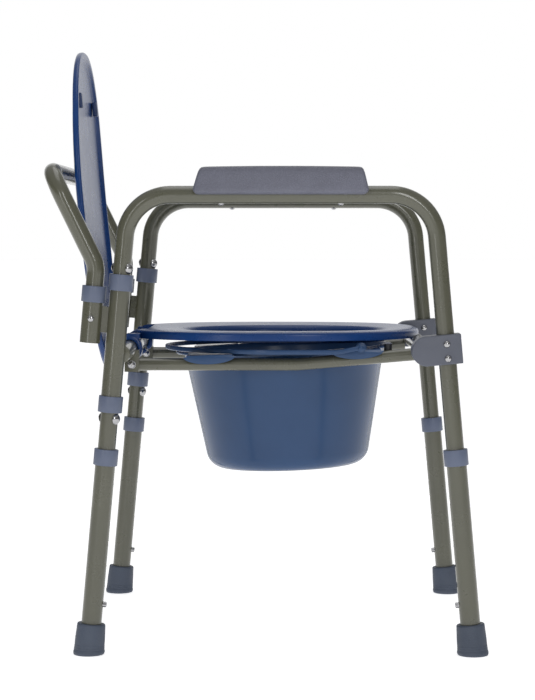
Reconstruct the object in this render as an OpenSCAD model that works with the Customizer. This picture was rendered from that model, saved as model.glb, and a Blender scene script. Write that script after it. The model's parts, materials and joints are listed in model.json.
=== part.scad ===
// Folding steel commode chair: two swivelling side frames, a seat frame that
// carries a lift-out pail, a hinged seat and lid, and telescopic legs.
// Millimetres, +Z up. The front faces -Y, and the chair is symmetric about X = 0.

/* [Side frames] */
// Distance between the middles of the two side frames
frame_w = 490; // [430:1:600]
// Height of the armrest tube's centre line
arm_z = 566.5; // [520:0.5:700]
// Length between the centres of the two bends of an armrest tube
bend_gap = 270; // [230:1:360]
// Centre-line radius of the armrest tube's bends
bend_r = 56; // [40:1:70]
// Outward lean of the legs in degrees
leg_lean = 5.15; // [2:0.05:8]
// Outer diameter of the main tubes
tube_d = 22; // [19:0.5:25]
// Wall of the main tubes
tube_wall = 1.5; // [1:0.1:2.5]

/* [Sleeves and collars] */
// Wall of the sleeves that fit over the main tubes
sleeve_wall = 1.2; // [1:0.1:2]
// Radial clearance between a sleeve and the tube inside it
sleeve_gap = 0.3; // [0.2:0.05:0.6]
// Outer diameter of the plastic collars
collar_d = 30; // [28:0.5:36]
// Height of a collar
collar_h = 20; // [14:1:30]
// Height of the middle of the swivel post
post_z = 384.5; // [364.5:0.5:404.5]
// Length of the swivel post
post_len = 150; // [120:1:180]
// Diameter of the swivel stop rivets' heads
stop_rivet_d = 14; // [8:0.5:16]
// Direction of the swivel stop rivets, in degrees from -X towards the front
stop_rivet_turn = 58; // [0:1:90]

/* [Legs] */
// Height of the top of a leg extension
ext_top_z = 254.5; // [244.5:0.5:266.5]
// Height of the lowest adjustment hole
first_hole_z = 63.1; // [56.5:0.2:70.5]
// Distance between adjustment holes along the leg
hole_pitch = 25.4; // [20:0.2:26]
// Number of adjustment holes
hole_count = 7; // [4:1:7]
// Diameter of the adjustment holes
hole_d = 7.6; // [6:0.2:9]
// Height of the rubber feet
foot_h = 40; // [30:1:46]
// Diameter of a foot near the floor
foot_d = 39; // [34:0.5:46]
// Diameter of a foot at its top
foot_top_d = 35; // [30:0.5:38]

/* [Snap buttons] */
// Diameter of a snap button
button_d = 7; // [5:0.2:8]
// How far a button stands out of its sleeve
button_out = 4.6; // [3:0.1:6]
// Thickness of the leaf spring behind a button
spring_t = 0.6; // [0.4:0.1:1]

/* [Armrests] */
// Length of an armrest pad along its bottom
pad_len = 214; // [160:1:224]
// Length of an armrest pad along its top
pad_top_len = 194; // [140:1:200]
// Width of an armrest pad
pad_w = 46; // [38:1:60]
// Height of a pad above the tube's centre line
pad_h = 35; // [26:1:45]
// Distance of the pad screws from the middle of the pad
pad_screw_u = 73; // [40:1:80]

/* [Backrest] */
// Distance of the backrest sockets behind the posts
socket_back = 32; // [30:0.5:44]
// Height of the middle of a socket
socket_z = 412.5; // [400.5:0.5:416.5]
// Length of a socket
socket_len = 60; // [50:1:70]
// Height of the backrest's top tube
back_z = 595.5; // [574.5:0.5:644.5]
// Backward lean of the upper backrest in degrees
back_lean = 26; // [10:1:32]
// Height of the bend in the backrest's uprights
back_bend_z = 480.5; // [472.5:0.5:494.5]

/* [Seat frame] */
// Outer diameter of the side rails
rail_d = 16; // [14:0.5:20]
// Distance of a side rail from the middle
rail_x = 142; // [136:1:160]
// Height of the rails at the back
rail_z = 353; // [350.5:0.5:354.5]
// Rise of the front half of the rails in degrees
rail_rise = 5; // [4:0.1:6]
// Height of the rear cross tube, which the seat and lid turn on
hinge_z = 371.5; // [370.5:0.5:372.5]
// Distance of the rear cross tube in front of the posts' axes
hinge_ahead = 8; // [4:0.5:12]
// Height of the front cross tube
front_tube_z = 375.5; // [373.5:0.5:376]
// Distance of the front cross tube behind the front legs' axes
front_tube_back = 25; // [24:0.5:34]

/* [Front brackets] */
// Height of a front bracket
bracket_h = 37; // [34:1:44]
// Thickness of a front bracket, across the chair
bracket_t = 30; // [28:1:36]
// Wall of a bracket in front of the leg
bracket_nose = 7; // [4:0.5:12]
// Depth of the cup that holds the end of the front cross tube
cup_depth = 10; // [6:0.5:11]
// Radial clearance in the cup
cup_gap = 1.5; // [1:0.1:3]
// Diameter of the bracket rivets' heads
bracket_rivet_d = 9; // [6:0.5:10]
// Distance between the two rivets of a bracket
bracket_rivet_gap = 17.5; // [14:0.5:20]

/* [Seat] */
// Width of the seat
seat_w = 355; // [320:1:380]
// Length of the seat
seat_len = 381; // [340:1:388]
// Height of the seat's top above the hinge tube's centre
seat_up = 23; // [21:0.5:26]
// Depth of the seat's outer rim
seat_rim = 10.5; // [8:0.5:12]
// Thickness of the seat's top and walls
seat_wall = 4; // [3:0.5:5]
// Depth of the splash collar round the seat's hole, below the top
collar_drop = 17; // [12:0.5:18]
// Width of the seat's hole
seat_hole_w = 200; // [160:1:220]
// Length of the seat's hole
seat_hole_len = 262; // [200:1:270]

/* [Lid] */
// Width of the lid
lid_w = 355; // [320:1:380]
// Length of the lid from its tip to its hinge edge
lid_len = 421; // [380:1:430]
// How far the lid reaches past the hinge axis
lid_tail = 30; // [24:1:34]
// Depth of the lid's side wall
lid_rim = 8; // [6:0.5:12]
// Gap between the seat and the closed lid
lid_gap = 8; // [6:0.5:10]
// Height of the lid's crown above its side wall
lid_crown = 5; // [2:0.5:8]
// Lean of the raised lid behind the vertical in degrees
lid_lean = 5.8; // [4:0.1:6]

/* [Pail] */
// Outer diameter of the pail's body under its rim
pail_top_d = 266; // [240:1:267]
// Outer diameter of the pail at its bottom
pail_base_d = 209; // [180:1:230]
// Depth of the pail below its rim
pail_depth = 154; // [130:1:180]
// Diameter of the pail's rim
pail_rim_d = 288; // [274:1:292]
// Wall of the pail
pail_wall = 2.5; // [2:0.1:4]
// Distance of the pail's middle in front of the armrests' middle
pail_u = 3; // [-4:1:8]

/* [Hidden] */
$fn = 64;
RIGHT = -1;
LEFT = 1;
FRONT = 1;
REAR = -1;
STEEL = [0.44, 0.44, 0.41];
COLLAR = [0.46, 0.49, 0.57];
BLUE = [0.10, 0.24, 0.50];
PAIL_BLUE = [0.20, 0.29, 0.45];
PAD = [0.45, 0.45, 0.51];
RUBBER = [0.24, 0.26, 0.31];
PLASTIC = [0.38, 0.40, 0.44];
CHROME = [0.80, 0.80, 0.82];

// overlap that joins two solids of one piece
weld = 0.05;
// how far a straight reaches into a bend, and how far the bend's surface lies under the straight's
bend_reach = 0.4;
bend_skin = 0.02;
// gap between pieces of different bodies that only pass or touch
pass_gap = 0.4;
sleeve_id = tube_d + 2 * sleeve_gap;
sleeve_d = sleeve_id + 2 * sleeve_wall;
half_w = frame_w / 2;
inner_end_z = first_hole_z - 16;
weld_plate_h = 32;
weld_plate_t = 5;

// the leg's line: u is the distance in front of the armrest's middle
leg_top_z = arm_z - bend_r + bend_r * sin(leg_lean);
leg_top_u = bend_gap / 2 + bend_r * cos(leg_lean);
function leg_u(z) = leg_top_u + (leg_top_z - z) * tan(leg_lean);
function along(z) = (z - leg_top_z) / cos(leg_lean);

// the backrest's line, from its sockets up
back_u0 = -leg_u(socket_z) - socket_back / cos(leg_lean);
back_bend_u = back_u0 + (back_bend_z - socket_z) * tan(leg_lean);
back_top_u = back_bend_u - (back_z - back_bend_z) * tan(back_lean);

front_u = leg_u(0) + foot_d / 2;
rear_u = back_top_u - tube_d / 2;
mid_u = (front_u + rear_u) / 2;
function pt(x, u, z) = [x, mid_u - u, z];

hinge_u = -leg_u(hinge_z) + hinge_ahead;
hinge = pt(0, hinge_u, hinge_z);
front_tube_u = leg_u(front_tube_z) - front_tube_back;
front_tube_half = half_w - bracket_t / 2 + cup_depth - 2;
pivot_u = hinge_u + 6;
clevis_gap = rail_d + 1;
clevis_t = 3;
bolt_d = 6;
rail_knee_u = 20;
rail_end_u = front_tube_u - tube_d / 2 + 3;
rail_end_z = rail_z + (rail_end_u - rail_knee_u) * tan(rail_rise);

// the seat and lid, measured from the hinge axis
seat_front_u = hinge_u - 4 + seat_len;
seat_mid_u = hinge_u - 4 + seat_len / 2;
seat_top = hinge_z + seat_up;
plate_power = 2.5;
hole_power = 2.2;
clip_d = tube_d + 12;
clip_w = 26;
clip_opening = 90;
lid_open = 90 + lid_lean;
lid_under = seat_up + lid_gap;
lid_bumper = [16, 19, lid_gap + lid_rim - 3 - pass_gap];
lid_bumper_x = 110;
lid_bumper_in = 59;
seat_clip_x = 108;
lid_clip_x = 56;
notch_w = 2 * (lid_clip_x + clip_w / 2 + 3);
notch_u = hinge_u + clip_d / 2 + 5;

// the pail hangs from its ears on the rails
ear_len = 66;
ear_u = 94;
ear_out = rail_x + rail_d / 2 + 8;
ear_drop = 12;
bumper_d = 10;
bumper_h = 7.5;
bumper_u = pail_u + ear_u + ear_len / 2 + bumper_d / 2 + 1;
bumper_x = rail_x - 6;
rail_top = rail_z + rail_d / 2;
ear_front_z = rail_top + (pail_u + ear_u - rail_knee_u) * tan(rail_rise);
pail_tilt = atan((ear_front_z - rail_top) / (2 * ear_u));
pail_z = (ear_front_z + rail_top) / 2 + pass_gap;
rim_t = 4;
handle_t = 6;
handle_x = ear_out + handle_t / 2 + pass_gap;
handle_pin = pt(0, pail_u + 98, hinge_z + 3);
handle_low = 5;

// ---- helpers ----
function unit(v) = v / norm(v);

module rod(p, q, d) {
  v = q - p;
  translate(p) rotate([0, acos(v.z / norm(v)), atan2(v.y, v.x)]) cylinder(d = d, h = norm(v));
}

module at_frame(o, x, y) {
  z = cross(x, y);
  multmatrix([[x.x, y.x, z.x, o.x], [x.y, y.y, z.y, o.y], [x.z, y.z, z.z, o.z]]) children();
}

// a round bar through the points, with every corner bent to radius r; a wall makes it a tube.
// Straights reach a little into the bends, whose surfaces lie just under theirs.
module bent_rod(points, r, d, wall = 0) {
  last = len(points) - 1;
  dirs = [for (i = [0:last - 1]) unit(points[i + 1] - points[i])];
  turns = [for (i = [1:last - 1]) acos(dirs[i - 1] * dirs[i])];
  cuts = [0, for (t = turns) r * tan(t / 2) - bend_reach, 0];
  for (i = [0:last - 1]) {
    from = points[i] + dirs[i] * cuts[i];
    to = points[i + 1] - dirs[i] * cuts[i + 1];
    difference() {
      rod(from, to, d);
      if (wall > 0) rod(from - dirs[i], to + dirs[i], d - 2 * wall);
    }
  }
  for (i = [1:last - 1]) {
    a = dirs[i - 1];
    inward = unit(dirs[i] - a * (a * dirs[i]));
    at_frame(points[i] - a * (cuts[i] + bend_reach) + inward * r, -inward, a)
      rotate_extrude(angle = turns[i - 1]) translate([r, 0]) difference() {
        circle(d = d - 2 * bend_skin);
        if (wall > 0) circle(d = d - 2 * wall + 2 * bend_skin);
      }
  }
}

// the frame of a leg: its own z runs up the leg's axis, from the foot of the bend
module on_leg(side, end) {
  translate(pt(side * half_w, end * leg_top_u, leg_top_z)) rotate([-end * leg_lean, 0, 0]) children();
}

// the frame of a backrest socket, parallel to the post
module on_socket(side) {
  on_leg(side, REAR) translate([0, socket_back, 0]) children();
}

module ring(z, h, outer, inner) {
  translate([0, 0, z]) difference() {
    cylinder(d = outer, h = h);
    translate([0, 0, -1]) cylinder(d = inner, h = h + 2);
  }
}

module dome(d, h) {
  r = (d * d / 4 + h * h) / (2 * h);
  intersection() {
    translate([0, 0, h - r]) sphere(r = r);
    cylinder(d = d, h = h);
  }
}

// a through rivet of length span between its two heads, along the local z
module rivet(span, shank, head, head_h) {
  translate([0, 0, -span / 2]) cylinder(d = shank, h = span);
  for (m = [0, 1]) mirror([0, 0, m]) translate([0, 0, span / 2]) dome(head, head_h);
}

// a rounded plate outline: an oval of the given size and squareness
function oval(w, l, power, n = 96) = [for (i = [0:n - 1]) let (a = 360 * i / n, c = cos(a), s = sin(a))
  [w / 2 * sign(c) * pow(abs(c), 2 / power), l / 2 * sign(s) * pow(abs(s), 2 / power)]];

// ---- root: posts, cross tubes, seat frame, backrest ----
module post_solid(side, extra = 0) {
  low = along(post_z) - post_len / 2;
  on_leg(side, REAR) translate([0, 0, low - extra]) cylinder(d = sleeve_d, h = post_len + 2 * extra);
}

module post(side) {
  low = along(post_z) - post_len / 2;
  color(STEEL) difference() {
    union() {
      post_solid(side);
      // weld plate to the backrest socket
      on_leg(side, REAR) translate([-weld_plate_t / 2, 0, along(socket_z) - weld_plate_h / 2])
        cube([weld_plate_t, socket_back, weld_plate_h]);
    }
    on_leg(side, REAR) translate([0, 0, low - 1]) cylinder(d = sleeve_id, h = post_len + 2);
    on_socket(side) translate([0, 0, along(socket_z) - socket_len])
      cylinder(d = sleeve_d, h = 2 * socket_len);
  }
}

module post_collars() {
  over = collar_h / 2;
  color(COLLAR) for (side = [RIGHT, LEFT]) on_leg(side, REAR) for (end = [-1, 1]) {
    edge = along(post_z) + end * post_len / 2;
    difference() {
      ring(edge - over, collar_h, collar_d, sleeve_id);
      translate([0, 0, edge - over + (end < 0 ? over : -1)]) cylinder(d = sleeve_d, h = over + 1);
    }
  }
}

module rear_cross_tube() {
  color(STEEL) difference() {
    rod(pt(-half_w, hinge_u, hinge_z), pt(half_w, hinge_u, hinge_z), tube_d);
    rod(pt(-half_w - 1, hinge_u, hinge_z), pt(half_w + 1, hinge_u, hinge_z), tube_d - 2 * tube_wall);
    for (side = [RIGHT, LEFT]) post_solid(side, 10);
  }
}

module seat_pivot_clevises() {
  w = clevis_gap + 2 * clevis_t;
  color(STEEL) for (side = [RIGHT, LEFT]) difference() {
    translate(pt(side * rail_x - w / 2, pivot_u + 9, rail_z - 9)) cube([w, 18, hinge_z - rail_z + 9]);
    translate(pt(side * rail_x - clevis_gap / 2, pivot_u + 30, rail_z - 10))
      cube([clevis_gap, 60, rail_d + 2.5]);
    rod(pt(side * rail_x - 30, pivot_u, rail_z), pt(side * rail_x + 30, pivot_u, rail_z), bolt_d);
    rod(pt(side * rail_x - 30, hinge_u, hinge_z), pt(side * rail_x + 30, hinge_u, hinge_z), tube_d);
  }
}

module seat_pivot_bolts() {
  span = clevis_gap + 2 * clevis_t;
  color(CHROME) for (side = [RIGHT, LEFT]) translate(pt(side * rail_x, pivot_u, rail_z)) rotate([0, 90, 0]) {
    cylinder(d = bolt_d, h = span, center = true);
    for (m = [0, 1]) mirror([0, 0, m]) translate([0, 0, span / 2]) {
      cylinder(d = 11, h = 2);
      translate([0, 0, 2 - weld]) dome(9, 3);
    }
  }
}

function rail_points(side) = [pt(side * rail_x, pivot_u - 9, rail_z),
  pt(side * rail_x, rail_knee_u, rail_z), pt(side * rail_x, rail_end_u, rail_end_z)];

module seat_rails() {
  color(STEEL) for (side = [RIGHT, LEFT]) difference() {
    bent_rod(rail_points(side), 150, rail_d, 1.5);
    rod(pt(side * rail_x - 30, pivot_u, rail_z), pt(side * rail_x + 30, pivot_u, rail_z), bolt_d);
    rod(pt(-half_w, front_tube_u, front_tube_z), pt(half_w, front_tube_u, front_tube_z), tube_d);
  }
}

module front_cross_tube() {
  color(STEEL) difference() {
    rod(pt(-front_tube_half, front_tube_u, front_tube_z),
      pt(front_tube_half, front_tube_u, front_tube_z), tube_d);
    rod(pt(-half_w, front_tube_u, front_tube_z), pt(half_w, front_tube_u, front_tube_z),
      tube_d - 2 * tube_wall);
  }
}

// a cross hole in the outer side of a socket or bar, for the backrest's button
module back_button_hole(side) {
  on_socket(side) translate([0, 0, along(socket_z)]) rotate([0, side * 90, 0]) cylinder(d = hole_d, h = 30);
}

module backrest_sockets() {
  color(STEEL) for (side = [RIGHT, LEFT]) difference() {
    on_socket(side) ring(along(socket_z) - socket_len / 2, socket_len, sleeve_d, sleeve_id);
    back_button_hole(side);
  }
}

module socket_collars() {
  over = collar_h / 2;
  edge = along(socket_z) + socket_len / 2;
  color(COLLAR) for (side = [RIGHT, LEFT]) on_socket(side) difference() {
    ring(edge - over, collar_h, collar_d, tube_d);
    translate([0, 0, edge - over - 1]) cylinder(d = sleeve_d, h = over + 1);
  }
}

module backrest_bar() {
  low_z = socket_z - socket_len / 2 + 6;
  low_u = back_u0 + (low_z - socket_z) * tan(leg_lean);
  upright = [for (side = [RIGHT, LEFT]) [pt(side * half_w, low_u, low_z),
    pt(side * half_w, back_bend_u, back_bend_z), pt(side * half_w, back_top_u, back_z)]];
  color(STEEL) difference() {
    bent_rod([upright[0][0], upright[0][1], upright[0][2], upright[1][2], upright[1][1], upright[1][0]],
      38, tube_d, tube_wall);
    for (side = [RIGHT, LEFT]) back_button_hole(side);
  }
}

// a snap button whose pin stands out along the local x, from a tube's axis
module snap_button() {
  tip = sleeve_d / 2 + button_out;
  flange_r = 8.6 / 2;
  color(CHROME) rotate([0, 90, 0]) {
    translate([0, 0, 3]) cylinder(d = button_d, h = tip - 4);
    translate([0, 0, tip - 1 - weld]) dome(button_d, 1 + weld);
    translate([0, 0, 6]) cylinder(r = flange_r, h = 1.6);
  }
}

// a leaf spring that lies along the tube behind the button
module snap_spring() {
  w = 7;
  back = tube_d / 2 - tube_wall - 3;
  color(CHROME) {
    translate([3 - spring_t, -w / 2, -8]) cube([spring_t, w, 50]);
    translate([-back, -w / 2, -8]) cube([spring_t, w, 50]);
    translate([-back, -w / 2, 42 - spring_t]) cube([back + 3, w, spring_t]);
  }
}

module backrest_button(side) {
  on_socket(side) translate([0, 0, along(socket_z)]) rotate([0, 0, side < 0 ? 180 : 0]) snap_button();
}

module backrest_springs() {
  for (side = [RIGHT, LEFT])
    on_socket(side) translate([0, 0, along(socket_z)]) rotate([0, 0, side < 0 ? 180 : 0]) snap_spring();
}

// ---- side frames ----
module side_tube(side) {
  u = leg_u(inner_end_z);
  corner = bend_gap / 2 + bend_r * tan((90 - leg_lean) / 2);
  x = side * half_w;
  color(STEEL) difference() {
    bent_rod([pt(x, -u, inner_end_z), pt(x, -corner, arm_z), pt(x, corner, arm_z), pt(x, u, inner_end_z)],
      bend_r, tube_d, tube_wall);
    for (end = [FRONT, REAR]) leg_hole(side, end, 0);
    stop_rivet_place(side) cylinder(d = 5, h = 60, center = true);
    bracket_rivet_place(side) cylinder(d = 4, h = 60, center = true);
    for (m = [-1, 1]) translate(pt(x, m * pad_screw_u, arm_z)) cylinder(d = 4, h = 60, center = true);
  }
}

module leg_hole(side, end, n) {
  on_leg(side, end) translate([0, 0, along(first_hole_z) + n * hole_pitch])
    rotate([end * -90, 0, 0]) cylinder(d = hole_d, h = 30);
}

module stop_rivet_place(side) {
  for (end = [-1, 1])
    on_leg(side, REAR)
      translate([0, 0, along(post_z) + end * (post_len / 2 + collar_h / 2 + stop_rivet_d / 2 + 0.6)])
      rotate([0, 0, stop_rivet_turn]) rotate([0, 90, 0]) children();
}

module stop_rivets(side) {
  color(CHROME) stop_rivet_place(side) rivet(tube_d - 1.2, 5, stop_rivet_d, 4.6);
}

module bracket_rivet_place(side) {
  for (m = [-1, 1])
    on_leg(side, FRONT) translate([0, 0, along(front_tube_z) + m * bracket_rivet_gap / 2])
      rotate([0, 90, 0]) children();
}

module bracket_rivets(side) {
  color(CHROME) bracket_rivet_place(side) rivet(bracket_t, 4, bracket_rivet_d, 3);
}

module armrest_pad(side) {
  chamfer = 8;
  slope = (pad_len - pad_top_len) / 2 / pad_h;
  low_w = pad_len / 2 - slope * (pad_h - chamfer);
  color(PAD) difference() {
    translate(pt(side * half_w - pad_w / 2, 0, arm_z)) rotate([90, 0, 90]) linear_extrude(pad_w)
      polygon([[-pad_len / 2, 0], [pad_len / 2, 0], [low_w, pad_h - chamfer],
        [pad_top_len / 2 - chamfer, pad_h], [chamfer - pad_top_len / 2, pad_h], [-low_w, pad_h - chamfer]]);
    rod(pt(side * half_w, -pad_len, arm_z), pt(side * half_w, pad_len, arm_z), tube_d);
    for (m = [-1, 1]) translate(pt(side * half_w, m * pad_screw_u, arm_z))
      cylinder(d = 4, h = tube_d / 2 + 14);
  }
}

module armrest_screws(side) {
  color(CHROME) for (m = [-1, 1]) translate(pt(side * half_w, m * pad_screw_u, arm_z)) {
    translate([0, 0, -tube_d / 2]) cylinder(d = 4, h = tube_d + 14);
    translate([0, 0, 0.6 - tube_d / 2]) mirror([0, 0, 1]) dome(8.5, 3);
  }
}

module front_bracket(side) {
  z = along(front_tube_z);
  nose = tube_d / 2 + bracket_nose;
  inner = side * (half_w - bracket_t / 2);
  color(PLASTIC) difference() {
    union() {
      on_leg(side, FRONT) translate([-bracket_t / 2, -nose, z - bracket_h / 2])
        cube([bracket_t, nose + front_tube_back, bracket_h]);
      rod(pt(side * half_w - bracket_t / 2 + weld, front_tube_u, front_tube_z),
        pt(side * half_w + bracket_t / 2 - weld, front_tube_u, front_tube_z), bracket_h - 4 * weld);
    }
    on_leg(side, FRONT) translate([0, 0, z - bracket_h]) cylinder(d = tube_d, h = 2 * bracket_h);
    rod(pt(inner - side, front_tube_u, front_tube_z),
      pt(inner + side * cup_depth, front_tube_u, front_tube_z), tube_d + 2 * cup_gap);
    bracket_rivet_place(side) cylinder(d = 4, h = 60, center = true);
  }
}

module leg_springs(side) {
  for (end = [FRONT, REAR])
    on_leg(side, end) translate([0, 0, along(first_hole_z)]) rotate([0, 0, end * 90]) snap_spring();
}

module leg_button(side, end) {
  on_leg(side, end) translate([0, 0, along(first_hole_z)]) rotate([0, 0, end * 90]) snap_button();
}

module leg_extension(side, end) {
  low = along(8);
  color(STEEL) difference() {
    on_leg(side, end) ring(low, along(ext_top_z) - collar_h / 2 - low, sleeve_d, sleeve_id);
    for (n = [0:hole_count - 1]) leg_hole(side, end, n);
  }
}

module leg_collar(side, end) {
  top = along(ext_top_z);
  color(COLLAR) on_leg(side, end) difference() {
    ring(top - collar_h, collar_h, collar_d, sleeve_id);
    translate([0, 0, top - collar_h - 1]) cylinder(d = sleeve_d, h = collar_h / 2 + 1);
  }
}

module foot(side, end) {
  color(RUBBER) difference() {
    on_leg(side, end) difference() {
      union() {
        translate([0, 0, along(6)]) cylinder(d1 = foot_d, d2 = foot_top_d, h = foot_h - 6);
        translate([0, 0, along(-4)]) cylinder(d1 = foot_d - 3, d2 = foot_d, h = 10 + weld);
      }
      translate([0, 0, along(8)]) cylinder(d = sleeve_d, h = foot_h);
      for (n = [0:2]) ring(along(11 + 4 * n), 1, foot_d + 4, foot_top_d + 1.5 - 0.3 * n);
    }
    translate(pt(side * half_w - foot_d, end * leg_u(0) + foot_d, -foot_d))
      cube([2 * foot_d, 2 * foot_d, foot_d]);
  }
}

// ---- seat ----
// an open ring round the local x axis, where the hinge tube runs, with its opening downwards
module clip(x) {
  translate([x - clip_w / 2, 0, 0]) rotate([0, 90, 0]) difference() {
    cylinder(d = clip_d, h = clip_w);
    translate([0, 0, -1]) cylinder(d = tube_d + 2 * pass_gap, h = clip_w + 2);
    translate([0, 0, -1]) linear_extrude(clip_w + 2)
      polygon([[0, 0], for (a = [-0.5, 0, 0.5] * clip_opening) clip_d * [cos(a), sin(a)]]);
  }
}

module seat_outline(inset) {
  translate([0, mid_u - seat_mid_u]) polygon(oval(seat_w - 2 * inset, seat_len - 2 * inset, plate_power));
}

module hole_outline(grow) {
  translate([0, mid_u - pail_u]) polygon(oval(seat_hole_w + 2 * grow, seat_hole_len + 2 * grow, hole_power));
}

module seat() {
  color(BLUE) difference() {
    union() {
      difference() {
        translate([0, 0, seat_top - seat_rim]) linear_extrude(seat_rim) seat_outline(0);
        translate([0, 0, seat_top - seat_rim - 1]) linear_extrude(seat_rim - seat_wall + 1)
          difference() {
            seat_outline(seat_wall);
            hole_outline(seat_wall);
          }
      }
      translate([0, 0, seat_top - collar_drop]) linear_extrude(collar_drop) hole_outline(seat_wall);
      for (side = [-1, 1]) {
        translate(hinge) clip(side * seat_clip_x);
        translate(pt(side * seat_clip_x - clip_w / 2, hinge_u + 14, hinge_z + tube_d / 2 + 1))
          cube([clip_w, 16, seat_up - tube_d / 2 - 2]);
      }
    }
    translate([0, 0, seat_top - collar_drop - 1]) linear_extrude(collar_drop + 2) hole_outline(0);
    // room for the lid's hinge clips at the back edge
    translate(pt(-notch_w / 2, notch_u, hinge_z - 40)) cube([notch_w, 80, 80]);
    // saddle over the front cross tube
    rod(pt(-half_w, front_tube_u, front_tube_z), pt(half_w, front_tube_u, front_tube_z),
      tube_d + 2 * pass_gap);
    // the hinge tube's running clearance
    rod(hinge - [half_w, 0, 0], hinge + [half_w, 0, 0], tube_d + 2 * pass_gap);
  }
}

// rubber buttons on the rails, under the seat's rim
module seat_bumpers() {
  rail_axis_z = rail_z + (bumper_u - rail_knee_u) * tan(rail_rise);
  color(RUBBER) for (side = [-1, 1]) difference() {
    translate(pt(side * bumper_x, bumper_u, rail_axis_z + 3))
      cylinder(d = bumper_d, h = rail_d / 2 + bumper_h - 3);
    rod(pt(side * rail_x, rail_knee_u, rail_z), pt(side * rail_x, rail_end_u, rail_end_z), rail_d + 2 * weld);
  }
}

// ---- lid: drawn closed, then turned up about the hinge axis ----
module lid_turn() {
  translate(hinge) rotate([-lid_open, 0, 0]) children();
}

module lid_outline(inset) {
  translate([0, lid_tail - lid_len / 2]) polygon(oval(lid_w - 2 * inset, lid_len - 2 * inset, plate_power));
}

module lid() {
  color(BLUE) lid_turn() difference() {
    union() {
      difference() {
        union() {
          translate([0, 0, lid_under]) linear_extrude(lid_rim) lid_outline(0);
          translate([0, 0, lid_under + lid_rim - weld]) linear_extrude(lid_crown * 0.6) lid_outline(9);
          translate([0, 0, lid_under + lid_rim + lid_crown * 0.6 - 2 * weld])
            linear_extrude(lid_crown * 0.4) lid_outline(34);
        }
        translate([0, 0, lid_under - 1]) linear_extrude(lid_rim - 3 + 1) lid_outline(6);
      }
      for (side = [-1, 1]) {
        clip(side * lid_clip_x);
        translate([side * lid_clip_x - clip_w / 2, -12, tube_d / 2 + 1])
          cube([clip_w, 24, lid_under + lid_rim - tube_d / 2 - 3]);
      }
    }
    rod([-half_w, 0, 0], [half_w, 0, 0], tube_d + 2 * pass_gap);
  }
}

module lid_bumpers() {
  color(RUBBER) lid_turn() for (side = [-1, 1])
    translate([side * lid_bumper_x - lid_bumper.x / 2, lid_tail - lid_len + lid_bumper_in, 0])
      translate([0, 0, seat_up + pass_gap]) cube(lid_bumper);
}

// ---- pail ----
module pail_turn() {
  translate(pt(0, pail_u, pail_z)) rotate([-pail_tilt, 0, 0]) children();
}

// half of the pail's section, shrunk by inset: a round-cornered bottom and a tapered wall up to z = top
function pail_section(inset, top) = let (taper = (pail_top_d - pail_base_d) / 2 / pail_depth,
    round_r = 24 - inset, base_r = pail_base_d / 2 - inset, lean = atan(taper),
    cx = base_r - round_r * tan(45 - lean / 2), cz = round_r - pail_depth + inset)
  concat([[0, inset - pail_depth]],
    [for (i = [0:6]) let (a = i / 6 * (90 - lean)) [cx + round_r * sin(a), cz - round_r * cos(a)]],
    [[pail_top_d / 2 - inset + taper * top, top]]);

// the ears reach over the rails from the rim and turn down outside them
module pail_ears() {
  shy = 0.2;
  reach = 68;
  difference() {
    for (side = [-1, 1], end = [-1, 1]) {
      y = -end * ear_u - ear_len / 2;
      translate([side > 0 ? ear_out - reach : -ear_out, y, shy]) cube([reach, ear_len, rim_t - 2 * shy]);
      translate([side > 0 ? ear_out - 3 : -ear_out, y, rim_t - ear_drop]) cube([3, ear_len, ear_drop - shy]);
    }
    translate([0, 0, -1]) cylinder(d = pail_top_d + 4, h = rim_t + 2);
  }
}

module pail() {
  outer = pail_section(0, 0);
  inner = pail_section(pail_wall, 0);
  color(PAIL_BLUE) difference() {
    union() {
      pail_turn() {
        rotate_extrude() polygon(concat(outer, [[pail_rim_d / 2, 0], [pail_rim_d / 2, rim_t],
          [pail_top_d / 2 - pail_wall, rim_t]], [for (i = [len(inner) - 1:-1:0]) inner[i]]));
        pail_ears();
      }
      // lugs for the handle's pins
      for (side = [-1, 1])
        rod([side * (ear_out - 3.3), handle_pin.y, handle_pin.z],
          [side * (ear_out - 0.2), handle_pin.y, handle_pin.z], 14);
    }
    // the ears' undersides clear the level and the rising part of the rails
    for (side = [-1, 1], i = [0, 1]) {
      ends = rail_points(side);
      rod(ends[i], ends[i + 1], rail_d + 2 * pass_gap);
    }
    rod([-half_w, handle_pin.y, handle_pin.z], [half_w, handle_pin.y, handle_pin.z], 5);
  }
}

// a flat strap round the back of the rim, from one pin to the other
module pail_handle() {
  arc_u = pail_u + 6;
  z = handle_pin.z - handle_low - handle_t / 2;
  drop_y = handle_pin.y + 26;
  arc_y = mid_u - arc_u;
  color(PAIL_BLUE) difference() {
    union() {
      translate([0, arc_y, z + bend_skin]) intersection() {
        ring(0, handle_t - 2 * bend_skin, 2 * handle_x + handle_t - 2 * bend_skin,
          2 * handle_x - handle_t + 2 * bend_skin);
        translate([-2 * handle_x, 0, -1]) cube([4 * handle_x, 2 * handle_x, handle_t + 2]);
      }
      for (side = [-1, 1]) {
        translate([side * handle_x - handle_t / 2, drop_y, z])
          cube([handle_t, arc_y - drop_y + bend_reach, handle_t]);
        rod([side * handle_x, drop_y + 3, z + handle_t / 2], [side * handle_x, handle_pin.y, handle_pin.z],
          handle_t - 0.6);
        translate([side * handle_x - handle_t / 2, handle_pin.y, handle_pin.z]) rotate([0, 90, 0])
          cylinder(d = 11, h = handle_t);
      }
    }
    rod([-half_w, handle_pin.y, handle_pin.z], [half_w, handle_pin.y, handle_pin.z], 5.2);
  }
}

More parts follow.
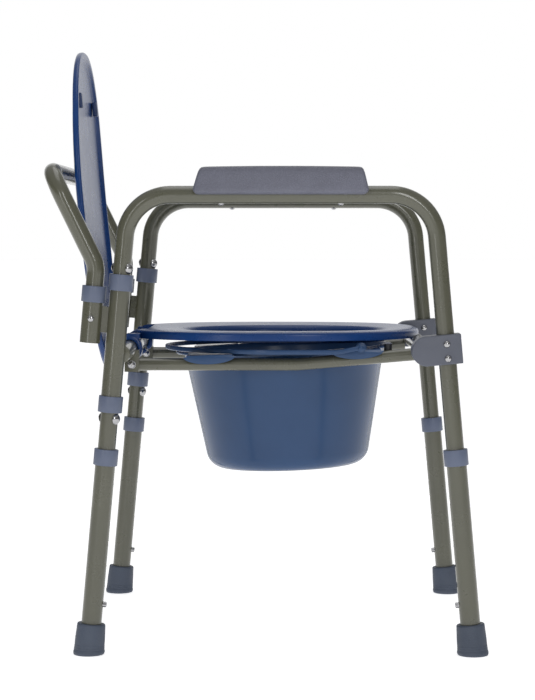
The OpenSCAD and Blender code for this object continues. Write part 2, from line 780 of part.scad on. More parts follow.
module pail_handle_pins() {
  color(PAIL_BLUE) for (side = [-1, 1]) translate([side * (ear_out - 4.5), handle_pin.y, handle_pin.z])
    rotate([0, side * 90, 0]) {
      cylinder(d = 8, h = 1.5);
      cylinder(d = 5, h = 4.5 + handle_t + 2 * pass_gap);
      translate([0, 0, 4.5 + handle_t + 2 * pass_gap - weld]) dome(8, 2.5);
    }
}

post(RIGHT);  // post_right
post(LEFT);  // post_left
post_collars();
rear_cross_tube();
seat_pivot_clevises();
seat_pivot_bolts();
seat_rails();
front_cross_tube();
backrest_sockets();
socket_collars();
backrest_bar();
backrest_button(RIGHT);  // backrest_button_right
backrest_button(LEFT);  // backrest_button_left
backrest_springs();
side_tube(RIGHT);  // side_tube_right
side_tube(LEFT);  // side_tube_left
armrest_pad(RIGHT);  // armrest_pad_right
armrest_pad(LEFT);  // armrest_pad_left
armrest_screws(RIGHT);  // armrest_screws_right
armrest_screws(LEFT);  // armrest_screws_left
stop_rivets(RIGHT);  // stop_rivets_right
stop_rivets(LEFT);  // stop_rivets_left
front_bracket(RIGHT);  // front_bracket_right
front_bracket(LEFT);  // front_bracket_left
bracket_rivets(RIGHT);  // bracket_rivets_right
bracket_rivets(LEFT);  // bracket_rivets_left
leg_springs(RIGHT);  // leg_springs_right
leg_springs(LEFT);  // leg_springs_left
leg_extension(RIGHT, FRONT);  // leg_extension_front_right
leg_extension(LEFT, FRONT);  // leg_extension_front_left
leg_extension(RIGHT, REAR);  // leg_extension_rear_right
leg_extension(LEFT, REAR);  // leg_extension_rear_left
leg_collar(RIGHT, FRONT);  // leg_collar_front_right
leg_collar(LEFT, FRONT);  // leg_collar_front_left
leg_collar(RIGHT, REAR);  // leg_collar_rear_right
leg_collar(LEFT, REAR);  // leg_collar_rear_left
foot(RIGHT, FRONT);  // foot_front_right
foot(LEFT, FRONT);  // foot_front_left
foot(RIGHT, REAR);  // foot_rear_right
foot(LEFT, REAR);  // foot_rear_left
leg_button(RIGHT, FRONT);  // leg_button_front_right
leg_button(LEFT, FRONT);  // leg_button_front_left
leg_button(RIGHT, REAR);  // leg_button_rear_right
leg_button(LEFT, REAR);  // leg_button_rear_left
seat();
seat_bumpers();
lid();
lid_bumpers();
pail();
pail_handle();
pail_handle_pins();
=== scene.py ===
"""Commode chair: the looks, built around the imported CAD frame.

Metres, +Z up, and the front faces -Y. Local shapes are worked out from the hinge axis, the pail's
handle pin and the boxes of the CAD nodes, which all come from the frame."""

import json
import math

import bmesh
import bpy
from mathutils import Matrix, Vector

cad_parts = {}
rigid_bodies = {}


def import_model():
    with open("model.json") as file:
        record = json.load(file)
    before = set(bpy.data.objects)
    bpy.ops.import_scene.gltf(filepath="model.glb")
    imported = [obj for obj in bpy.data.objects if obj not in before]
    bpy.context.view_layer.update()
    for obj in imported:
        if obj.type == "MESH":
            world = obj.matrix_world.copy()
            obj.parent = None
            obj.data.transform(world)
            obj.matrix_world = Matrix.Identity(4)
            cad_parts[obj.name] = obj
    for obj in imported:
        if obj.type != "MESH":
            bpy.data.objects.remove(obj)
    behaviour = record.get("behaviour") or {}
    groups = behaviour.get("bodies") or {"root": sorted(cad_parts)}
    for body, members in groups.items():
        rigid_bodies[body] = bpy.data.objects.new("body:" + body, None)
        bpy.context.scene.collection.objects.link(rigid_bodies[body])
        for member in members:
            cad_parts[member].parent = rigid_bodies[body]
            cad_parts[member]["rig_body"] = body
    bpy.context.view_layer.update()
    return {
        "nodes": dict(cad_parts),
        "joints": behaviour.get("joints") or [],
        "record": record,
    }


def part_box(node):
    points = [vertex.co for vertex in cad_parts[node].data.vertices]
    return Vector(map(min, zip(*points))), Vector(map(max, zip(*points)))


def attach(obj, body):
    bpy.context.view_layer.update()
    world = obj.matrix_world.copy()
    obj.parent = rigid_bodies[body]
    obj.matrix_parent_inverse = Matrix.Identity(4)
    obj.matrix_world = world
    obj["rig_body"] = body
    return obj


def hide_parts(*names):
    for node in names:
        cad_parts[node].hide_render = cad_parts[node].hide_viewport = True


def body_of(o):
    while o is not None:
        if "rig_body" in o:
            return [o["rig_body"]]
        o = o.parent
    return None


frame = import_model()
MM = 0.001
SIDES = {"right": -1, "left": 1}
ENDS = {"front": -1, "rear": 1}
joints = {j["name"]: j for j in frame["joints"]}
hinge = Vector(joints["seat_hinge"]["pos_m"])
handle_pin = Vector(joints["handle_swing"]["pos_m"])
lid_open = math.radians(-joints["lid_hinge"]["range_deg"][0])
tube_low, tube_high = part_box("front_cross_tube")
tube_r = (tube_high.z - tube_low.z) / 2
tube_y, tube_z = (tube_low.y + tube_high.y) / 2, (tube_low.z + tube_high.z) / 2


def leg_line(end, side_name):
    """Where the leg's axis meets the floor, and the axis, upwards."""
    mounts = frame["record"]["mounts"]
    foot = next(m for m in mounts if m["name"] == f"foot_face_{end}_{side_name}")
    return Vector(foot["pos_m"]), -Vector(joints[f"leg_slide_{end}_{side_name}"]["axis"])


def linked(name, data):
    """A new object in the scene's own collection."""
    obj = bpy.data.objects.new(name, data)
    bpy.context.scene.collection.objects.link(obj)
    return obj


# ---------------------------------------------------------------- camera
# the eye is level with the seat's side, a little above it, on the chair's right
EYE = Vector((-3.029, hinge.y - 0.213, hinge.z + 0.147))
LOOK_DOWN = math.radians(2.92)
LOOK_BACK = math.radians(0.69)
LENS = 116.9
cam_data = bpy.data.cameras.new("camera")
cam_data.lens = LENS
cam_data.sensor_width = 36
cam_data.clip_end = 50
camera = linked("camera", cam_data)
camera.location = EYE
camera.rotation_euler = (math.pi / 2 - LOOK_DOWN, 0, -math.pi / 2 + LOOK_BACK)
bpy.context.scene.camera = camera

# ---------------------------------------------------------------- light and floor
world = bpy.data.worlds.new("studio")
bpy.context.scene.world = world
world.use_nodes = True
sky = world.node_tree
direction = sky.nodes.new("ShaderNodeTexCoord")
split = sky.nodes.new("ShaderNodeSeparateXYZ")
sky.links.new(direction.outputs["Generated"], split.inputs["Vector"])


def glow(axis, start, full, strength):
    """How much the sky adds in the directions whose share along an axis lies between start and full."""
    node = sky.nodes.new("ShaderNodeMapRange")
    node.interpolation_type = "SMOOTHSTEP"
    node.inputs["From Min"].default_value = start
    node.inputs["From Max"].default_value = full
    node.inputs["To Min"].default_value = 0
    node.inputs["To Max"].default_value = strength
    sky.links.new(split.outputs[axis], node.inputs["Value"])
    return node.outputs["Result"]


AMBIENT = 0.12
both = sky.nodes.new("ShaderNodeMath")
both.operation = "ADD"
# a white wall behind the chair, and a paler ceiling
sky.links.new(glow("X", 0.66, 0.94, 0.92), both.inputs[0])
sky.links.new(glow("Z", 0.15, 0.85, 0.36), both.inputs[1])
total = sky.nodes.new("ShaderNodeMath")
total.operation = "ADD"
total.use_clamp = True
total.inputs[1].default_value = AMBIENT
sky.links.new(both.outputs["Value"], total.inputs[0])
sky.nodes["Background"].inputs["Color"].default_value = (1, 1, 1, 1)
sky.links.new(total.outputs["Value"], sky.nodes["Background"].inputs["Strength"])
bpy.context.scene.view_settings.view_transform = "Standard"


AIM = Vector((0, 0, 0.35))


def softbox(name, place, size, power):
    """A rectangular area light that faces the chair's middle."""
    light = bpy.data.lights.new(name, "AREA")
    light.shape = "RECTANGLE"
    light.size, light.size_y = size
    light.energy = power
    obj = linked(name, light)
    obj.location = place
    obj.rotation_euler = (AIM - Vector(place)).to_track_quat("-Z", "Y").to_euler()


softbox("key", (-3.3, -0.7, 1.6), (0.45, 1.6), 19)
softbox("fill", (-2.9, 1.3, 1.1), (0.28, 1.8), 9)
softbox("top", (0.2, 0.0, 2.8), (1.2, 2.4), 12)


# ---------------------------------------------------------------- materials
def node_tree(name):
    """A new material with its node tree and its shader."""
    mat = bpy.data.materials.new(name)
    mat.use_nodes = True
    tree = mat.node_tree
    return mat, tree, tree.nodes["Principled BSDF"]


def noise(tree, scale, detail=3.0, rough=0.55, stretch=None):
    """A noise texture in the piece's own metres, so its grain keeps its real size."""
    coords = tree.nodes.new("ShaderNodeTexCoord")
    tex = tree.nodes.new("ShaderNodeTexNoise")
    tex.inputs["Scale"].default_value = scale
    tex.inputs["Detail"].default_value = detail
    tex.inputs["Roughness"].default_value = rough
    if stretch:
        mapping = tree.nodes.new("ShaderNodeMapping")
        mapping.inputs["Scale"].default_value = stretch
        tree.links.new(coords.outputs["Object"], mapping.inputs["Vector"])
        tree.links.new(mapping.outputs["Vector"], tex.inputs["Vector"])
    else:
        tree.links.new(coords.outputs["Object"], tex.inputs["Vector"])
    return tex


def ramp(tree, source, stops):
    """A colour ramp from an output, with (position, colour) stops."""
    node = tree.nodes.new("ShaderNodeValToRGB")
    elements = node.color_ramp.elements
    while len(elements) < len(stops):
        elements.new(0.5)
    for element, (place, colour) in zip(elements, stops):
        element.position = place
        element.color = (*colour, 1)
    tree.links.new(source, node.inputs["Fac"])
    return node


def spread(tree, source, low, high):
    """A noise output, whose values lie mostly between 0.3 and 0.7, stretched from low to high."""
    node = tree.nodes.new("ShaderNodeMapRange")
    node.inputs["From Min"].default_value = 0.3
    node.inputs["From Max"].default_value = 0.7
    node.inputs["To Min"].default_value = low
    node.inputs["To Max"].default_value = high
    tree.links.new(source, node.inputs["Value"])
    return node


def shade(colour, factor):
    """A lighter or darker colour."""
    return tuple(min(1.0, c * factor) for c in colour)


def multiplied(tree, first, second):
    """Two colour outputs multiplied."""
    mix = tree.nodes.new("ShaderNodeMix")
    mix.data_type = "RGBA"
    mix.blend_type = "MULTIPLY"
    mix.inputs["Factor"].default_value = 1.0
    tree.links.new(first, mix.inputs["A"])
    tree.links.new(second, mix.inputs["B"])
    return mix.outputs["Result"]


def bump(tree, shader, source, strength, distance, previous=None):
    """Relief of the given depth in metres, on top of an earlier one."""
    node = tree.nodes.new("ShaderNodeBump")
    node.inputs["Strength"].default_value = strength
    node.inputs["Distance"].default_value = distance
    tree.links.new(source, node.inputs["Height"])
    if previous:
        tree.links.new(previous.outputs["Normal"], node.inputs["Normal"])
    tree.links.new(node.outputs["Normal"], shader.inputs["Normal"])
    return node


def finish_of(name, colour, roughness, grain, grain_depth, mottle=0.06, metallic=0.0, gleam=0.5,
              coat=0.0, coat_rough=0.08, wave=None, specks=None, uneven=0.2):
    """A procedural finish: mottled colour, uneven gloss and a fine surface grain.

    grain is the noise scale per metre, wave adds a slow (scale, depth) ripple, and specks a
    (scale, lighter, darker) speckle."""
    mat, tree, shader = node_tree(name)
    shader.inputs["Metallic"].default_value = metallic
    shader.inputs["Specular IOR Level"].default_value = gleam
    shader.inputs["Coat Weight"].default_value = coat
    shader.inputs["Coat Roughness"].default_value = coat_rough
    patches = noise(tree, 14)
    tint = ramp(tree, patches.outputs["Fac"],
                [(0.32, shade(colour, 1 - mottle)), (0.68, shade(colour, 1 + mottle))])
    colour_out = tint.outputs["Color"]
    if specks:
        scale, lighter, darker = specks
        dots = noise(tree, scale, 2.0, 0.7)
        dot_tint = ramp(tree, dots.outputs["Fac"],
                        [(0.35, (darker,) * 3), (0.5, (1, 1, 1)), (0.66, (lighter,) * 3)])
        colour_out = multiplied(tree, colour_out, dot_tint.outputs["Color"])
    tree.links.new(colour_out, shader.inputs["Base Color"])
    smudge = noise(tree, 38, 4.0)
    gloss = spread(tree, smudge.outputs["Fac"], roughness * (1 - uneven), roughness * (1 + uneven))
    tree.links.new(gloss.outputs["Result"], shader.inputs["Roughness"])
    previous = None
    if wave:
        slow = noise(tree, wave[0], 1.0)
        previous = bump(tree, shader, slow.outputs["Fac"], 1.0, wave[1])
    fine = noise(tree, grain, 3.0, 0.6)
    bump(tree, shader, fine.outputs["Fac"], 0.6, grain_depth, previous)
    return mat


def leather_of(name, colour, roughness):
    """Moulded foam skin with a leather grain: small rounded cells with creases between them, and painted
    shade darkening the creases.
    """
    mat, tree, shader = node_tree(name)
    patches = noise(tree, 22)
    tint = ramp(tree, patches.outputs["Fac"], [(0.3, shade(colour, 0.92)), (0.7, shade(colour, 1.08))])
    coords = tree.nodes.new("ShaderNodeTexCoord")
    warp = noise(tree, 260, 2.0)
    add = tree.nodes.new("ShaderNodeMixRGB")
    add.blend_type = "ADD"
    add.inputs["Fac"].default_value = 0.004
    tree.links.new(coords.outputs["Object"], add.inputs["Color1"])
    tree.links.new(warp.outputs["Color"], add.inputs["Color2"])
    cells = tree.nodes.new("ShaderNodeTexVoronoi")
    cells.feature = "DISTANCE_TO_EDGE"
    cells.inputs["Scale"].default_value = 430
    tree.links.new(add.outputs["Color"], cells.inputs["Vector"])
    crease = ramp(tree, cells.outputs["Distance"], [(0.0, (0, 0, 0)), (0.22, (1, 1, 1))])
    # painted shade: the skin's colour darkens to 84% in the creases between the grain's cells
    painted_crease_shade = ramp(tree, cells.outputs["Distance"], [(0.0, (0.84,) * 3), (0.15, (1, 1, 1))])
    grain_and_painted_shade = multiplied(tree, tint.outputs["Color"], painted_crease_shade.outputs["Color"])
    tree.links.new(grain_and_painted_shade, shader.inputs["Base Color"])
    wear = noise(tree, 30, 4.0)
    gloss = spread(tree, wear.outputs["Fac"], roughness * 0.85, roughness * 1.15)
    tree.links.new(gloss.outputs["Result"], shader.inputs["Roughness"])
    first = bump(tree, shader, crease.outputs["Color"], 0.70, 0.00032)
    pores = noise(tree, 2400, 2.0)
    bump(tree, shader, pores.outputs["Fac"], 0.4, 0.00008, first)
    return mat


PAINT = finish_of("powder_coat", (0.084, 0.084, 0.056), 0.30, 1500, 0.00006, 0.05,
                  coat=0.6, coat_rough=0.09, wave=(220, 0.00005), specks=(2600, 1.10, 0.90))
COLLAR = finish_of("collar_plastic", (0.112, 0.136, 0.205), 0.40, 1800, 0.00005, 0.05,
                   specks=(2200, 1.06, 0.94))
BRACKET = finish_of("bracket_plastic", (0.094, 0.103, 0.133), 0.44, 1300, 0.00012, 0.05,
                    specks=(1500, 1.16, 0.84))
PAD = leather_of("pad_skin", (0.134, 0.139, 0.182), 0.46)
RUBBER = finish_of("foot_rubber", (0.060, 0.076, 0.110), 0.58, 1400, 0.00010, 0.10,
                   specks=(1200, 1.12, 0.88))
BLACK_RUBBER = finish_of("bumper_rubber", (0.012, 0.013, 0.018), 0.55, 1500, 0.00008, 0.10)
SEAT_BLUE = finish_of("seat_plastic", (0.006, 0.039, 0.160), 0.28, 900, 0.00001, 0.05, gleam=0.3,
                      wave=(34, 0.00008), uneven=0.06)
LID_BUMPER = finish_of("lid_bumper_plastic", (0.008, 0.030, 0.110), 0.40, 1500, 0.00006, 0.08)
PAIL_BLUE = finish_of("pail_plastic", (0.027, 0.064, 0.150), 0.24, 1100, 0.00002, 0.05, gleam=0.3,
                      wave=(30, 0.00008), uneven=0.08)
CHROME = finish_of("bright_plate", (0.42, 0.42, 0.43), 0.16, 1600, 0.00002, 0.04, metallic=1.0)
SPRING = finish_of("spring_steel", (0.42, 0.42, 0.44), 0.30, 1200, 0.00003, 0.08, metallic=1.0)
FLOOR = finish_of("studio_floor", (0.90, 0.90, 0.90), 0.9, 300, 0.00002, 0.01)
FLOOR.node_tree.nodes["Principled BSDF"].inputs["Emission Color"].default_value = (1, 1, 1, 1)
FLOOR.node_tree.nodes["Principled BSDF"].inputs["Emission Strength"].default_value = 0.66


# ---------------------------------------------------------------- mesh helpers
def piece(name, verts, faces, material, body, replaces=()):
    """A smooth-shaded mesh that rides on a body and stands for the CAD nodes it replaces."""
    return dress(mesh_from(verts, faces, name), name, material, body, replaces)


def dress(mesh, name, material, body, replaces=(), sharp=35):
    """A mesh as a visible piece, whose edges stay crisp where they turn by more than sharp degrees."""
    bm = bmesh.new()
    bm.from_mesh(mesh)
    bmesh.ops.remove_doubles(bm, verts=bm.verts, dist=1e-6)
    bmesh.ops.recalc_face_normals(bm, faces=bm.faces)
    bm.to_mesh(mesh)
    bm.free()
    mesh.materials.clear()
    mesh.materials.append(material)
    mesh.shade_smooth()
    mesh.set_sharp_from_angle(angle=math.radians(sharp))
    obj = linked(name, mesh)
    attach(obj, body)
    if replaces:
        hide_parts(*replaces)
    return obj


def skin(rings, closed=True, cap=True, loop=False):
    """Faces over equal rings of points; loop joins the last ring to the first."""
    verts = [v for ring in rings for v in ring]
    n = len(rings[0])
    faces = []
    count = len(rings)
    for i in range(count if loop else count - 1):
        a, b = i * n, (i + 1) % count * n
        for k in range(n if closed else n - 1):
            m = (k + 1) % n
            faces.append((a + k, a + m, b + m, b + k))
    if cap and not loop:
        faces.append(tuple(reversed(range(n))))
        faces.append(tuple(range((count - 1) * n, count * n)))
    return verts, faces


def oval(w, l, power, n):
    """A squared oval of width w and length l."""
    points = []
    for i in range(n):
        a = 2 * math.pi * i / n
        c, s = math.cos(a), math.sin(a)
        points.append((math.copysign(abs(c) ** (2 / power), c) * w / 2,
                       math.copysign(abs(s) ** (2 / power), s) * l / 2))
    return points


def arc(cx, cz, r, start, end, n):
    """Points on an arc, from start to end degrees."""
    return [(cx + r * math.cos(math.radians(start + (end - start) * i / n)),
             cz + r * math.sin(math.radians(start + (end - start) * i / n))) for i in range(n + 1)]


def mesh_from(verts, faces, name="shape"):
    """A mesh whose faces all look outwards."""
    mesh = bpy.data.meshes.new(name)
    mesh.from_pydata([tuple(v) for v in verts], [], faces)
    bm = bmesh.new()
    bm.from_mesh(mesh)
    bmesh.ops.recalc_face_normals(bm, faces=bm.faces)
    bm.to_mesh(mesh)
    bm.free()
    return mesh


def solid(verts, faces, name="scratch"):
    """A scratch object, to cut or join with others."""
    return linked(name, mesh_from(verts, faces, name))


def applied(obj):
    """The object's mesh with its modifiers applied; the object goes."""
    graph = bpy.context.evaluated_depsgraph_get()
    mesh = bpy.data.meshes.new_from_object(obj.evaluated_get(graph))
    bpy.data.objects.remove(obj)
    return mesh


def boolean(obj, others, operation):
    """obj with the other solids cut away, or joined on; the others go."""
    for other in others:
        mod = obj.modifiers.new("cut", "BOOLEAN")
        mod.operation = operation
        mod.solver = "EXACT"
        mod.object = other
    name = obj.name
    mesh = applied(obj)
    for other in others:
        bpy.data.objects.remove(other)
    return linked(name, mesh)


def taken(obj):
    """The object's mesh; the object goes."""
    mesh = obj.data
    bpy.data.objects.remove(obj)
    return mesh


def bevelled(obj, width, segments=3, angle=30):
    """The object's mesh with its edges rounded; the object goes."""
    bm = bmesh.new()
    bm.from_mesh(obj.data)
    bmesh.ops.remove_doubles(bm, verts=bm.verts, dist=2e-6)
    bmesh.ops.dissolve_limit(bm, angle_limit=math.radians(1.0), verts=bm.verts, edges=bm.edges)
    bm.to_mesh(obj.data)
    bm.free()
    mod = obj.modifiers.new("bevel", "BEVEL")
    mod.width = width
    mod.segments = segments
    mod.limit_method = "ANGLE"
    mod.angle_limit = math.radians(angle)
    mod.miter_outer = "MITER_ARC"
    return applied(obj)


def block(low, high):
    """A box between two opposite corners."""
    (x0, y0, z0), (x1, y1, z1) = low, high
    verts = [(x, y, z) for z in (z0, z1) for x, y in ((x0, y0), (x1, y0), (x1, y1), (x0, y1))]
    return verts, [(0, 3, 2, 1), (4, 5, 6, 7), (0, 1, 5, 4), (1, 2, 6, 5), (2, 3, 7, 6), (3, 0, 4, 7)]


def bar(start, end, r, n=48):
    """A round bar between two points."""
    start, end = Vector(start), Vector(end)
    along = (end - start).normalized()
    side = along.orthogonal().normalized()
    other = along.cross(side)
    rings = [[p + r * (math.cos(2 * math.pi * i / n) * side + math.sin(2 * math.pi * i / n) * other)
              for i in range(n)] for p in (start, end)]
    return skin(rings)


def softened(node, width, material, angle=30, segments=2):
    """The CAD node's own shape with its edges rounded, as a mould leaves them."""
    source = frame["nodes"][node]
    mesh = bevelled(linked("scratch", source.data.copy()), width, segments, angle)
    return dress(mesh, node + "_moulding", material, body_of(source)[0], [node])


# ---------------------------------------------------------------- CAD nodes that keep their shape
for name, obj in frame["nodes"].items():
    if "spring" in name:
        look = SPRING
    elif any(word in name for word in ("bolt", "rivet", "screw", "button")):
        look = CHROME
    elif "collar" in name:
        look = COLLAR
    elif "foot" in name or "bumper" in name:
        look = RUBBER
    elif "pad" in name:
        look = PAD
    elif "bracket" in name:
        look = BRACKET
    elif name in ("seat", "lid"):
        look = SEAT_BLUE
    elif name.startswith("pail"):
        look = PAIL_BLUE
    else:
        look = PAINT
    obj.data.materials.clear()
    obj.data.materials.append(look)

# ---------------------------------------------------------------- hinge clips
CLIP_R, CLIP_BORE, CLIP_W = 17 * MM, 11.4 * MM, 26 * MM
SEAT_CLIP_X, LID_CLIP_X = 108 * MM, 56 * MM
WEB_FOOT = 12.4 * MM


def hinge_clip(x):
    """An open ring round the hinge tube, with its gap facing down."""
    outline = arc(0, 0, CLIP_R, -45, 225, 36) + arc(0, 0, CLIP_BORE, 225, -45, 36)
    rings = [[(x + dx, y, z) for y, z in outline] for dx in (-CLIP_W / 2, CLIP_W / 2)]
    return bevelled(solid(*skin(rings)), 1.2 * MM, 2)


def hinge_web(x, back, front, top, edge):
    """The block between a clip and the plate over it."""
    half = CLIP_W / 2 - 0.3 * MM
    return bevelled(solid(*block((x - half, back, WEB_FOOT), (x + half, front, top))), edge)


def joined(name, meshes):
    """Several meshes as one."""
    bm = bmesh.new()
    for mesh in meshes:
        bm.from_mesh(mesh)
    out = bpy.data.meshes.new(name)
    bm.to_mesh(out)
    bm.free()
    return out


# ---------------------------------------------------------------- seat
SEAT_W, SEAT_L, SEAT_POWER = 355 * MM, 381 * MM, 2.5
HOLE_W, HOLE_L, HOLE_POWER = 200 * MM, 262 * MM, 2.2
seat_top = 23 * MM
seat_mid_y = 4 * MM - SEAT_L / 2
# the pail's middle lies behind its handle's pins, and 3 mm in front of the armrests' middle
pail_mid_y = handle_pin.y + 98 * MM
armrest_mid_y = pail_mid_y + 3 * MM
hole_mid_y = pail_mid_y - hinge.y


def contour(t):
    """Height of the seat's top over its rim, from the rim (0) to the hole (1)."""
    crest, fall = 1.2 * MM, 3.5 * MM
    return crest * (1 - (1 - min(t, 0.25) / 0.25) ** 2) - fall * (max(0.0, t - 0.25) / 0.75) ** 1.6


def seat_mesh():
    """The ring's section, swept from its outline to its hole: rolled rim, dished top, splash collar."""
    n = 192
    outer = [(x, y + seat_mid_y) for x, y in oval(SEAT_W, SEAT_L, SEAT_POWER, n)]
    hole = [(x, y + hole_mid_y) for x, y in oval(HOLE_W, HOLE_L, HOLE_POWER, n)]
    rings = []
    for (ox, oy), (hx, hy) in zip(outer, hole):
        across = Vector((hx - ox, hy - oy))
        width = across.length
        across.normalize()
        rim, wall, drop = 10.5 * MM, 3.5 * MM, 17 * MM
        section = [(0, seat_top - rim), (0, seat_top - 4 * MM)]
        section += arc(4 * MM, seat_top - 4 * MM, 4 * MM, 180, 90, 7)[1:]
        section += [(t * width, seat_top + contour(t))
                    for t in (0.1, 0.17, 0.25, 0.35, 0.45, 0.55, 0.65, 0.75, 0.84)]
        edge = seat_top + contour(0.84)
        roll = 9 * MM
        section += [(width - roll + roll * math.sin(math.radians(a)),
                     edge - roll + roll * math.cos(math.radians(a))) for a in range(15, 91, 15)]
        section += [(width, seat_top - drop + 1 * MM), (width - 0.8 * MM, seat_top - drop),
                    (width - 2.4 * MM, seat_top - drop), (width - wall, seat_top - drop + 1 * MM),
                    (width - wall, edge - roll), (width - 9 * MM, edge - 5.4 * MM),
                    (0.5 * width, seat_top + contour(0.5) - wall), (wall + 2 * MM, seat_top - 4.4 * MM),
                    (wall, seat_top - 6 * MM), (wall, seat_top - rim + 0.6 * MM),
                    (wall - 0.6 * MM, seat_top - rim), (0.6 * MM, seat_top - rim)]
        rings.append([(ox + across.x * s, oy + across.y * s, z) for s, z in section])
    return skin(rings, loop=True)


def seat():
    """The ring with room for the lid's clips at the back and for the front cross tube below."""
    ring = solid(*seat_mesh(), "seat_ring")
    notch_half = 72 * MM
    notch = solid(*block((-notch_half, -22 * MM, -40 * MM), (notch_half, 60 * MM, 60 * MM)))
    y, z = tube_y - hinge.y, tube_z - hinge.z
    saddle = solid(*bar((-0.3, y, z), (0.3, y, z), tube_r + 0.5 * MM))
    bore = solid(*bar((-0.3, 0, 0), (0.3, 0, 0), CLIP_BORE))
    parts = [taken(boolean(ring, [notch, saddle, bore], "DIFFERENCE"))]
    for side in SIDES.values():
        x = side * SEAT_CLIP_X
        parts += [hinge_clip(x), hinge_web(x, -14 * MM, 3.4 * MM, 19.5 * MM, 1 * MM)]
    mesh = joined("seat_moulding", parts)
    mesh.transform(Matrix.Translation(hinge))
    return dress(mesh, "seat_moulding", SEAT_BLUE, "seat", ["seat"])


# ---------------------------------------------------------------- lid
LID_W, LID_L, LID_TAIL = 355 * MM, 421 * MM, 30 * MM
lid_under = 31 * MM
lid_mid_y = LID_TAIL - LID_L / 2
lid_turn = Matrix.Translation(hinge) @ Matrix.Rotation(-lid_open, 4, "X")


def camber(y):
    """The lid's rise over a flat one: it arches a little and droops towards its front."""
    along = min(1.0, max(0.0, -y / (LID_L - LID_TAIL)))
    arch = 2 * MM * math.sin(math.pi * min(1.0, along / 0.8))
    return arch - 6 * MM * max(0.0, (along - 0.45) / 0.55) ** 2


def lid_mesh():
    """Concentric loops from the middle of the underside, over the flange and rim, to the crown."""
    n = 192
    rim, crown, recess = 8 * MM, 5 * MM, 5 * MM
    dome = 5.5 * MM
    under = [(inset * MM, recess + dome * (1 - (1 - (inset - 13) / 157) ** 2))
             for inset in range(170, 14, -12)]
    under += [(13 * MM, recess), (10.5 * MM, recess - 0.6 * MM), (8.8 * MM, recess - 2.2 * MM),
              (7.6 * MM, 0.8 * MM), (6.6 * MM, 0.1 * MM), (5.6 * MM, 0), (2.2 * MM, 0),
              (0.9 * MM, 0.4 * MM), (0.2 * MM, 1.4 * MM)]
    edge = [(0, 2.6 * MM), (0, rim - 3.6 * MM), (0.4 * MM, rim - 2 * MM), (1.5 * MM, rim - 0.7 * MM),
            (3.4 * MM, rim)]
    top = []
    for i in range(1, 16):
        t = i / 15
        inset = 3.4 * MM + (174 * MM - 3.4 * MM) * t
        top.append((inset, rim + (crown + dome / 2) * (1 - (1 - min(1, inset / (170 * MM))) ** 2.4)))
    rings = []
    for inset, z in under + edge + top:
        points = oval(LID_W - 2 * inset, LID_L - 2 * inset, 2.5 - 0.5 * min(1, inset / (170 * MM)), n)
        rings.append([(x, y + lid_mid_y, lid_under + z + camber(y + lid_mid_y)) for x, y in points])
    return skin(rings)


def lid():
    """The plate and its two clips, shaped shut and then turned up."""
    parts = [mesh_from(*lid_mesh())]
    for side in SIDES.values():
        x = side * LID_CLIP_X
        parts += [hinge_clip(x), hinge_web(x, -12 * MM, 12 * MM, 29 * MM, 1.4 * MM)]
    mesh = joined("lid_moulding", parts)
    mesh.transform(lid_turn)
    return dress(mesh, "lid_moulding", SEAT_BLUE, "lid", ["lid"])


def lid_bumpers():
    """Two soft blocks in the recess under the lid's front, standing a little out of it."""
    parts = []
    near, far = LID_TAIL - LID_L + 78 * MM, LID_TAIL - LID_L + 59 * MM
    level = lid_under + camber(far)
    for side in SIDES.values():
        x = side * 110 * MM
        pad = solid(*block((x - 8 * MM, far, level - 1.4 * MM), (x + 8 * MM, near, level + 5 * MM)))
        parts.append(bevelled(pad, 1.2 * MM))
    mesh = joined("lid_bumper_blocks", parts)
    mesh.transform(lid_turn)
    return dress(mesh, "lid_bumper_blocks", LID_BUMPER, "lid", ["lid_bumpers"])


# ---------------------------------------------------------------- pail
# it hangs with a slight tilt, because the rails rise towards the front
PAIL_TILT = math.radians(2.053)
pail_z = handle_pin.z - 9.73 * MM
pail_turn = Matrix.Translation((0, pail_mid_y, pail_z)) @ Matrix.Rotation(-PAIL_TILT, 4, "X")
EAR_OUT, EAR_U, EAR_L = 158 * MM, 94 * MM, 66 * MM
RAIL_X, RAIL_RISE = 142 * MM, math.radians(5)


def pail_body():
    """Half of the pail's section, turned about its axis: domed bottom, big corner and rolled rim."""
    top_r, base_r, depth, wall, corner = 133 * MM, 104.5 * MM, 154 * MM, 2.5 * MM, 24 * MM
    taper = (top_r - base_r) / depth
    lean = math.degrees(math.atan(taper))

    def side(inset, top):
        """The bottom, the corner and the wall of one face, up to a height."""
        r = corner - inset
        cx = base_r - inset - r * math.tan(math.radians(45 - lean / 2))
        cz = r - depth + inset
        low = inset - depth
        bottom = [(0.0, low + 2.2 * MM), (0.3 * cx, low + 1.9 * MM), (0.7 * cx, low + 0.9 * MM),
                  (0.93 * cx, low + 0.12 * MM)]
        wall_up = [(base_r - inset + taper * (z + depth), z) for z in (-100 * MM, -50 * MM, top)]
        return bottom + arc(cx, cz, r, -90, -lean, 12) + wall_up

    rim_r, rim_t = 144 * MM, 4 * MM
    outer = side(0, -2.5 * MM)
    lip = [(top_r + 0.5 * MM, -0.9 * MM), (top_r + 2 * MM, 0.0), (rim_r - 1.2 * MM, 0.0),
           (rim_r - 0.3 * MM, 0.4 * MM)]
    lip += arc(rim_r - 1.8 * MM, rim_t - 1.8 * MM, 1.8 * MM, 0, 90, 4)
    lip += [(top_r + 3 * MM, rim_t), (top_r + 0.4 * MM, rim_t - 0.5 * MM),
            (top_r - 1.5 * MM, rim_t - 2 * MM)]
    inner = list(reversed(side(wall, -1.5 * MM)))
    section = outer + lip + inner
    n = 160
    rings = []
    for i in range(n):
        a = 2 * math.pi * i / n
        rings.append([(max(r, 1e-5) * math.cos(a), max(r, 1e-5) * math.sin(a), z) for r, z in section])
    verts, faces = skin(rings, closed=False, cap=False, loop=True)
    count = len(section)
    faces.append(tuple(i * count for i in range(n)))
    faces.append(tuple(reversed([i * count + count - 1 for i in range(n)])))
    return verts, faces


